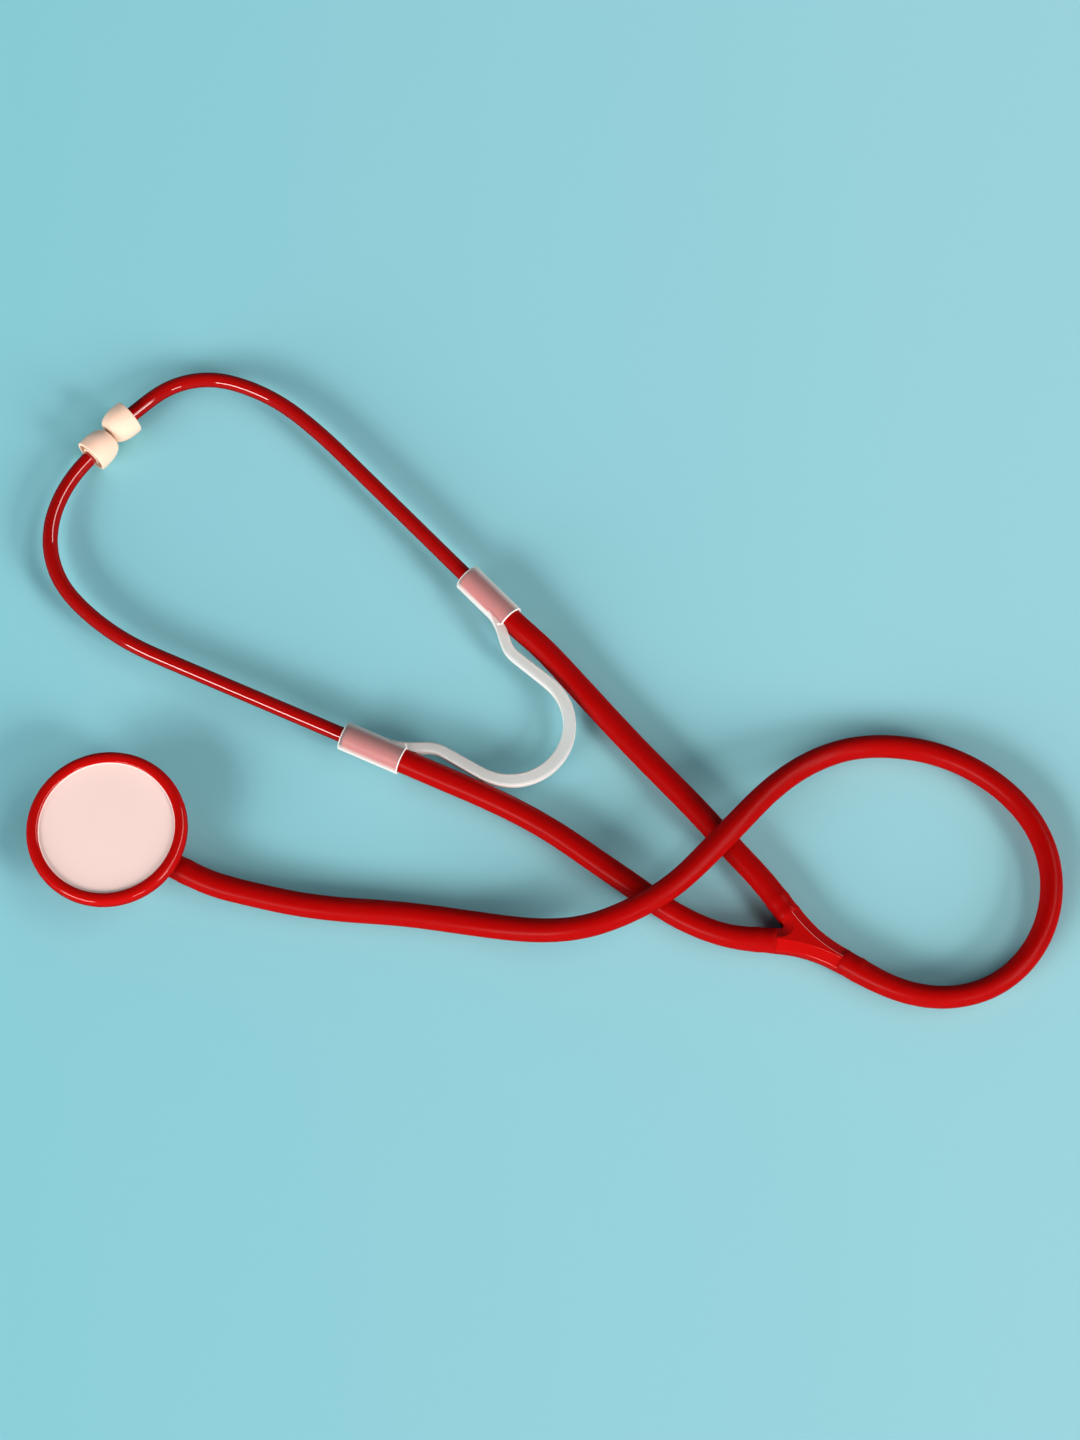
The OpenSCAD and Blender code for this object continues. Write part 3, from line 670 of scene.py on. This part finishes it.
# The spring clip is one moulding of milky, slightly see-through plastic. Two sleeves grip the branch hoses,
# and a leaf bent into a bow joins them and pulls the ear tubes together. The tinted wall of each sleeve's
# bore stands in for the red hose that shows through the milk.
SLEEVE_D = 8.2
SLEEVE_BORE_D = HOSE_D + 0.3
BORE_RUN_OUT = 5
EAR_HOLE_GAP = 0.1
EAR_D = 4.3
LEAF_HEIGHT = 3.2
LEAF_LEG_THICK = 2.8
LEAF_BOW_THICK = 3.6
LEAF_ROOT_ANGLE = 27
LEAF_ROOT = 5
LEAF_LEAD = 5.9
LEAF_BEND_R = 5.1
LEAF_BEND = 33.7
LEAF_LEG = 13.1
BOW_R = 16.4
LEAF_EASE = 0.55
ROOT_FLARE = 2.2
ROOT_FLARE_RUN = 7
ROOT_SWELL = 1.9
ROOT_SWELL_RUN = 6
SLEEVE_SLACK = 0.1
EAR_END_BAND = 0.35
MOUTH_BAND = 0.3
WALL_FACES, BORE_FACES, RIM_FACES = 1, 2, 3
MILKY = (0.84, 0.83, 0.80)
MILKY_WARM = (0.79, 0.78, 0.75)
REDDENED = (0.58, 0.075, 0.075)
REDDENED_DEEP = (0.52, 0.06, 0.06)
# Partly painted highlight: the sleeves' end faces are opaque milk, blotched from this paler tone into the
# milk's own to paint the bright lines along their mouths.
RIM_MILK_PAINTED_BRIGHT = (0.90, 0.88, 0.85)
LEAF_VEIL = (0.55, 1, 0.25, 0.7)
SKIN_VEIL = (0.2, 1, 0.18, 0.75)


def aside(pose, distance):
    """The pose moved to its left."""
    x, y, _ = ahead(turned(pose, 90), distance)
    return (x, y, pose[2])


def bent(pose, radius, angle):
    """The pose at the end of an arc that turns left by a positive angle."""
    turn = math.copysign(radius, angle)
    return aside(turned(aside(pose, turn), angle), -turn)


def bent_line(pose, legs, height, spacing=0.7):
    """Places in metres along straights and arcs: legs of (straight, radius, angle) in millimetres."""
    places = [at_height(pose, height)]
    for straight, radius, angle in legs:
        places.append(at_height(ahead(pose, straight), height))
        start = ahead(pose, straight)
        if angle:
            steps = max(2, round(abs(math.radians(angle)) * radius / spacing))
            places += [at_height(bent(start, radius, angle * k / steps), height) for k in range(1, steps + 1)]
            pose = bent(start, radius, angle)
        else:
            pose = start
    return evenly(np.array(places) * MM, spacing * MM), pose


def softened(line, passes):
    """The line with its changes of bend eased, and its ends where they were."""
    line = line.copy()
    for _ in range(passes):
        line[1:-1] = (line[:-2] + 2 * line[1:-1] + line[2:]) / 4
    return line


def milky_plastic(name, tones, veil=None):
    """Milky plastic. A veil gives its cover square on and edge on, and the facings between them."""
    material, shader = finish(name, {"IOR": 1.46})
    place = node(material, "ShaderNodeTexCoord", {}).outputs["Object"]
    cloud = blotched(material, shader, tones, 6, place)
    if veil:
        facing = node(material, "ShaderNodeLayerWeight", {"Blend": 0.5}).outputs["Facing"]
        milk = node(material, "ShaderNodeMapRange", {"Value": facing, "To Min": veil[0], "To Max": veil[1],
                                                     "From Min": veil[2], "From Max": veil[3]},
                    interpolation_type="SMOOTHSTEP")
        material.node_tree.links.new(milk.outputs["Result"], shader.inputs["Alpha"])
    rough_between(material, shader, cloud.outputs["Fac"], 0.34, 0.44)
    grain = node(material, "ShaderNodeTexNoise", {"Vector": place, "Scale": 700, "Detail": 2})
    relief(material, shader, grain.outputs["Fac"], 0.3, 0.03)
    return material


left_mouth = ahead(SLEEVE_ENDS["left"], -SLEEVE_LENGTH)
right_mouth = ahead(SLEEVE_ENDS["right"], -SLEEVE_LENGTH)
bow_angle = (right_mouth[2] - left_mouth[2] + 180) + 2 * (LEAF_BEND - LEAF_ROOT_ANGLE)
leaf_root = turned(aside(turned(left_mouth, 180), (SLEEVE_D + HOSE_D) / 4), LEAF_ROOT_ANGLE)
leaf_line, _ = bent_line(ahead(leaf_root, -LEAF_ROOT),
                         [(LEAF_ROOT + LEAF_LEAD, LEAF_BEND_R, -LEAF_BEND), (LEAF_LEG, BOW_R, bow_angle),
                          (LEAF_LEG, LEAF_BEND_R, -LEAF_BEND), (LEAF_ROOT + LEAF_LEAD, 0, 0)], HEADSET_HEIGHT)
leaf_line = softened(leaf_line, 8)
leaf_run = along_line(leaf_line) / MM
_, across, _ = set_square(leaf_line)
leaf_rings = []
for place, side_way, run in zip(leaf_line, across, leaf_run):
    from_end = min(run, leaf_run[-1] - run)
    bow_share = math.exp(-(((run - leaf_run[-1] / 2) / (leaf_run[-1] / 4)) ** 2))
    thick = LEAF_LEG_THICK + (LEAF_BOW_THICK - LEAF_LEG_THICK) * bow_share
    thick += ROOT_SWELL * max(0, 1 - from_end / ROOT_SWELL_RUN) ** 2
    high = LEAF_HEIGHT + ROOT_FLARE * max(0, 1 - from_end / (LEAF_ROOT + ROOT_FLARE_RUN)) ** 1.5
    section = eased([(thick / 2, -high / 2, LEAF_EASE), (thick / 2, high / 2, LEAF_EASE),
                     (-thick / 2, high / 2, LEAF_EASE), (-thick / 2, -high / 2, LEAF_EASE)], steps=4)
    leaf_rings.append([place + side_way * x * MM + np.array([0, 0, z * MM]) for x, z in section])
spring_clip = mesh_of_rings("spring_clip", leaf_rings, capped_ends=True)
for side in ("left", "right"):
    outer = eased([(0, 0, 0), (SLEEVE_D / 2, 0, 0.3), (SLEEVE_D / 2, SLEEVE_LENGTH, 0.22),
                   (0, SLEEVE_LENGTH, 0)], closed=False)
    inward = turned(SLEEVE_ENDS[side], 180)
    carved(spring_clip, laid(lathe("sleeve", outer, 72), inward, HEADSET_HEIGHT), "UNION")
    bore = bar("bore", SLEEVE_BORE_D, SLEEVE_STOP, SLEEVE_LENGTH + BORE_RUN_OUT, 72)
    carved(spring_clip, laid(bore, inward, HEADSET_HEIGHT), "DIFFERENCE")
    ear_hole = bar("ear_hole", EAR_D + EAR_HOLE_GAP, -SLEEVE_STOP, 3 * SLEEVE_STOP, 48)
    carved(spring_clip, laid(ear_hole, inward, HEADSET_HEIGHT), "DIFFERENCE")
creased(spring_clip, 42)
spring_clip.data.materials.clear()
spring_clip.data.materials.append(milky_plastic("milky_leaf", (MILKY, MILKY_WARM), LEAF_VEIL))
spring_clip.data.materials.append(milky_plastic("milky_sleeve", (MILKY, MILKY_WARM), SKIN_VEIL))
spring_clip.data.materials.append(milky_plastic("hose_side_of_sleeve", (REDDENED, REDDENED_DEEP)))
# The rim material is opaque milk with a painted highlight in its paler tone.
spring_clip.data.materials.append(milky_plastic("milky_rim_painted_highlight", (RIM_MILK_PAINTED_BRIGHT, MILKY)))
for end in SLEEVE_ENDS.values():
    into_sleeve = pointed(turned(end, 180), HEADSET_HEIGHT).inverted()
    for face in spring_clip.data.polygons:
        near = into_sleeve @ face.center
        depth, from_axis = near.z / MM, near.xy.length / MM
        if from_axis < SLEEVE_D / 2 + SLEEVE_SLACK and -SLEEVE_STOP < depth < SLEEVE_LENGTH + SLEEVE_SLACK:
            at_rim = not EAR_END_BAND < depth < SLEEVE_LENGTH - MOUTH_BAND
            in_bore = from_axis < (SLEEVE_BORE_D + SLEEVE_SLACK) / 2
            face.material_index = RIM_FACES if at_rim else BORE_FACES if in_bore else WALL_FACES
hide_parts("clip_leaf", "left_clip_sleeve", "right_clip_sleeve")
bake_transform(spring_clip)

# The ear tubes are hard glossy red plastic tube, bent warm in three arcs each.
# They are pushed through the sleeves' ends into the branch hoses, and can be turned there.
EAR_BORE_D = 2.4
EAR_INSERT = 12
TIP_INSERT = 4.5
EAR_LEGS = {
    "left": [(59.4, 70.7, -23.4), (0, 29.2, -57.2), (0, 39.8, -26.5), (1.3, 0, 0)],
    "right": [(54, 156, 6.3), (0, 53.4, 24), (0, 23.9, 59.4), (7.8, 0, 0)],
}
EAR_SIDES = 32
TUBE_RED = (0.36, 0.004, 0.0032)
TUBE_RED_DEEP = (0.33, 0.003, 0.0028)


def drawn_tube():
    """Hard red tube with a bright polish and very faint draw lines."""
    material, shader = finish("drawn_tube", {
        "IOR": 1.52, "Coat Weight": 1, "Coat IOR": 1.7, "Coat Roughness": 0.03})
    place = node(material, "ShaderNodeTexCoord", {}).outputs["Object"]
    cloud = blotched(material, shader, (TUBE_RED, TUBE_RED_DEEP), 16, place)
    rough_between(material, shader, cloud.outputs["Fac"], 0.05, 0.08)
    ripple = node(material, "ShaderNodeTexNoise", {"Vector": place, "Scale": 90, "Detail": 1})
    relief(material, shader, ripple.outputs["Fac"], 0.1, 0.03)
    return material


POLISH = drawn_tube()
tip_poses = {}
for side, legs in EAR_LEGS.items():
    line, tip_poses[side] = bent_line(SLEEVE_ENDS[side], legs, HEADSET_HEIGHT, 1)
    line = softened(line, 16)
    back, fore = line[0] - line[1], line[-1] - line[-2]
    line = np.vstack([line[0] + back / np.linalg.norm(back) * EAR_INSERT * MM, line,
                      line[-1] + fore / np.linalg.norm(fore) * TIP_INSERT * MM])
    _, across, up = set_square(line)
    places = list(range(len(line)))
    rings = []
    for order, radius in ((places, EAR_D / 2 * MM), (places[::-1], EAR_BORE_D / 2 * MM)):
        rings += [ring_about(line[i], across[i], up[i], radius, radius, EAR_SIDES) for i in order]
    tube = creased(mesh_of_rings(side + "_bent_tube", rings, joined_ends=True), 50)
    tube.data.materials.append(POLISH)
    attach(tube, side + "_ear")
    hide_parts(side + "_ear_tube")

# The ear tips are domed caps of soft cream plastic. A hollow skirt goes round a socket that grips the tube,
# and a small sound hole opens in each nose.
TIP_D = 10.2
TIP_LENGTH = 8.1
TIP_BAND = 2.4
TIP_NOSE_D = 5
TIP_WALL = 0.9
TIP_HOLLOW = 3
TIP_SOCKET_WALL = 0.7
TIP_HOLE_D = 2
CREAM = (0.92, 0.65, 0.49)
CREAM_PALE = (0.94, 0.69, 0.54)


def soft_cream():
    """Matte cream plastic with a fine dry skin."""
    material, shader = finish("soft_cream", {
        "IOR": 1.45, "Subsurface Weight": 0.15, "Subsurface Scale": 1 * MM,
        "Subsurface Radius": (1, 0.6, 0.4)})
    place = node(material, "ShaderNodeTexCoord", {}).outputs["Object"]
    cloud = blotched(material, shader, (CREAM, CREAM_PALE), 3, place)
    rough_between(material, shader, cloud.outputs["Fac"], 0.5, 0.62)
    grain = node(material, "ShaderNodeTexNoise", {"Vector": place, "Scale": 1500, "Detail": 3})
    relief(material, shader, grain.outputs["Fac"], 0.35, 0.02)
    return material


SOFT_CREAM = soft_cream()
dome = [(TIP_NOSE_D / 2 + x, TIP_BAND + y) for x, y in
        quarter((0, 0), (TIP_D / 2 - TIP_NOSE_D / 2, TIP_LENGTH - TIP_BAND), 0, 20)]
skirt_r = TIP_D / 2 - TIP_WALL
socket_r = EAR_D / 2 + TIP_SOCKET_WALL
tip_profile = [
    *eased([(skirt_r, 0, 0.2), (TIP_D / 2, 0, 0.3), (*dome[0], 0)], closed=False)[1:-1],
    *dome[:-1],
    *eased([(*dome[-2], 0), (*dome[-1], 0.2), (TIP_HOLE_D / 2, TIP_LENGTH - 0.1, 0.3),
            (TIP_HOLE_D / 2, TIP_INSERT, 0), (EAR_D / 2, TIP_INSERT, 0), (EAR_D / 2, 0, 0.15),
            (socket_r, 0, 0.15), (socket_r, TIP_HOLLOW, 0.2), (skirt_r - TIP_WALL, TIP_HOLLOW, 0.3),
            (skirt_r, TIP_HOLLOW - TIP_WALL, 0.4), (skirt_r, 0, 0)], closed=False)[1:],
]
for side, pose in tip_poses.items():
    tip = creased(laid(lathe(side + "_soft_tip", tip_profile, 96), pose, HEADSET_HEIGHT), 50)
    tip.data.materials.append(SOFT_CREAM)
    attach(tip, side + "_ear")
    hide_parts(side + "_ear_tip")

# The table is a pale turquoise sheet, with painted light: its colour turns lighter and warmer from left to
# right. Soft sheets of light stand low at the front left and front right, with narrow lamps beside them that
# give the gloss its streaks, and a long lamp is higher at the right.
# The walls of the room add a little light, its ceiling is dark, and the gloss shows both room and table dim.
TURQUOISE = (0.250, 0.630, 0.715)
TURQUOISE_PAINTED_LIT = (0.322, 0.680, 0.755)
PAINTED_LIGHT_FROM = -40 * MM
PAINTED_LIGHT_TO = 275 * MM
TABLE_SIZE = 6
LAMP_DISTANCE = 12
LEFT_TINT = (1.12, 1.01, 0.97)
RIGHT_TINT = (1.16, 1.01, 0.97)
HIGH_TINT = (1.24, 1.03, 0.98)
LAMPS = {
    "left_sheet": {"azimuth": 218, "elevation": 20, "spread": (36, 30), "share": 0.33, "tint": LEFT_TINT},
    "left_lamp": {"azimuth": 236, "elevation": 25, "spread": (30, 9), "share": 0.12, "tint": LEFT_TINT},
    "right_sheet": {"azimuth": 325, "elevation": 19, "spread": (18, 21), "share": 0.24, "tint": RIGHT_TINT},
    "right_lamp": {"azimuth": 328, "elevation": 26, "spread": (10, 10), "share": 0.04, "tint": RIGHT_TINT},
    "front_lamp": {"azimuth": 297, "elevation": 24, "spread": (10, 10), "share": 0.025, "tint": RIGHT_TINT},
    "high_lamp": {"azimuth": 3, "elevation": 46, "spread": (54, 15), "share": 0.212, "tint": HIGH_TINT},
}
WALL_LIGHT = 0.4
TABLE_IN_GLOSS = (0.015, 0.03, 0.035)
WALL_TINT = (0.10, 0.90, 1.15)
CEILING_LIGHT = 0.01
ROOM_IN_GLOSS = 0.12
CEILING_FROM = 0.77

bpy.ops.mesh.primitive_plane_add(size=TABLE_SIZE, location=(LOOKED_AT[0], LOOKED_AT[1], 0))
table = bpy.context.object
table.name = "table"
table_paint, paint = finish("table_paint", {"Roughness": 0.85, "Specular IOR Level": 0.15})
table_place = node(table_paint, "ShaderNodeTexCoord", {}).outputs["Object"]
table_x = node(table_paint, "ShaderNodeSeparateXYZ", {"Vector": table_place}).outputs["X"]
# Painted light: the table's colour grows lighter and warmer from left to right.
painted_light_drift = node(table_paint, "ShaderNodeMapRange", {"Value": table_x, "From Min": PAINTED_LIGHT_FROM - LOOKED_AT[0],
                                                 "From Max": PAINTED_LIGHT_TO - LOOKED_AT[0]})
table_tone = node(table_paint, "ShaderNodeMix", {"Factor": painted_light_drift.outputs["Result"], "A": (*TURQUOISE, 1),
                                                "B": (*TURQUOISE_PAINTED_LIT, 1)}, data_type="RGBA")
table_seen = node(table_paint, "ShaderNodeMix", {
    "Factor": node(table_paint, "ShaderNodeLightPath", {}).outputs["Is Glossy Ray"],
    "A": table_tone.outputs["Result"], "B": (*TABLE_IN_GLOSS, 1)}, data_type="RGBA")
table_paint.node_tree.links.new(table_seen.outputs["Result"], paint.inputs["Base Color"])
table.data.materials.append(table_paint)

for name, lamp in LAMPS.items():
    light = bpy.data.lights.new(name, "AREA")
    light.shape = "RECTANGLE"
    half_angles = [math.radians(angle / 2) for angle in lamp["spread"]]
    light.size, light.size_y = (2 * LAMP_DISTANCE * math.tan(angle) for angle in half_angles)
    azimuth, elevation = math.radians(lamp["azimuth"]), math.radians(lamp["elevation"])
    light.energy = math.pi**2 * lamp["share"] * LAMP_DISTANCE**2 / math.sin(elevation)
    light.color = lamp["tint"]
    toward = Vector((math.cos(azimuth) * math.cos(elevation), math.sin(azimuth) * math.cos(elevation),
                     math.sin(elevation)))
    stand = bpy.data.objects.new(name, light)
    stand.location = Vector(LOOKED_AT) + toward * LAMP_DISTANCE
    stand.rotation_euler = toward.to_track_quat("Z", "Y").to_euler()
    stand.visible_camera = False
    stand.visible_glossy = not name.endswith("sheet")
    bpy.context.scene.collection.objects.link(stand)

world = bpy.data.worlds.new("soft_room")
world.use_nodes = True
background = world.node_tree.nodes["Background"]
background.inputs["Color"].default_value = (*WALL_TINT, 1)
way = node(world, "ShaderNodeTexCoord", {}).outputs["Generated"]
upward = node(world, "ShaderNodeSeparateXYZ", {"Vector": way}).outputs["Z"]
room = node(world, "ShaderNodeMapRange", {"Value": upward, "From Max": CEILING_FROM, "To Min": WALL_LIGHT,
                                         "To Max": CEILING_LIGHT})
in_gloss = node(world, "ShaderNodeLightPath", {}).outputs["Is Glossy Ray"]
dimmer = node(world, "ShaderNodeMapRange", {"Value": in_gloss, "To Min": 1, "To Max": ROOM_IN_GLOSS})
strength = node(world, "ShaderNodeMath", {0: room.outputs["Result"], 1: dimmer.outputs["Result"]},
                operation="MULTIPLY")
world.node_tree.links.new(strength.outputs["Value"], background.inputs["Strength"])
bpy.context.scene.world = world
bpy.context.scene.view_settings.view_transform = "Standard"
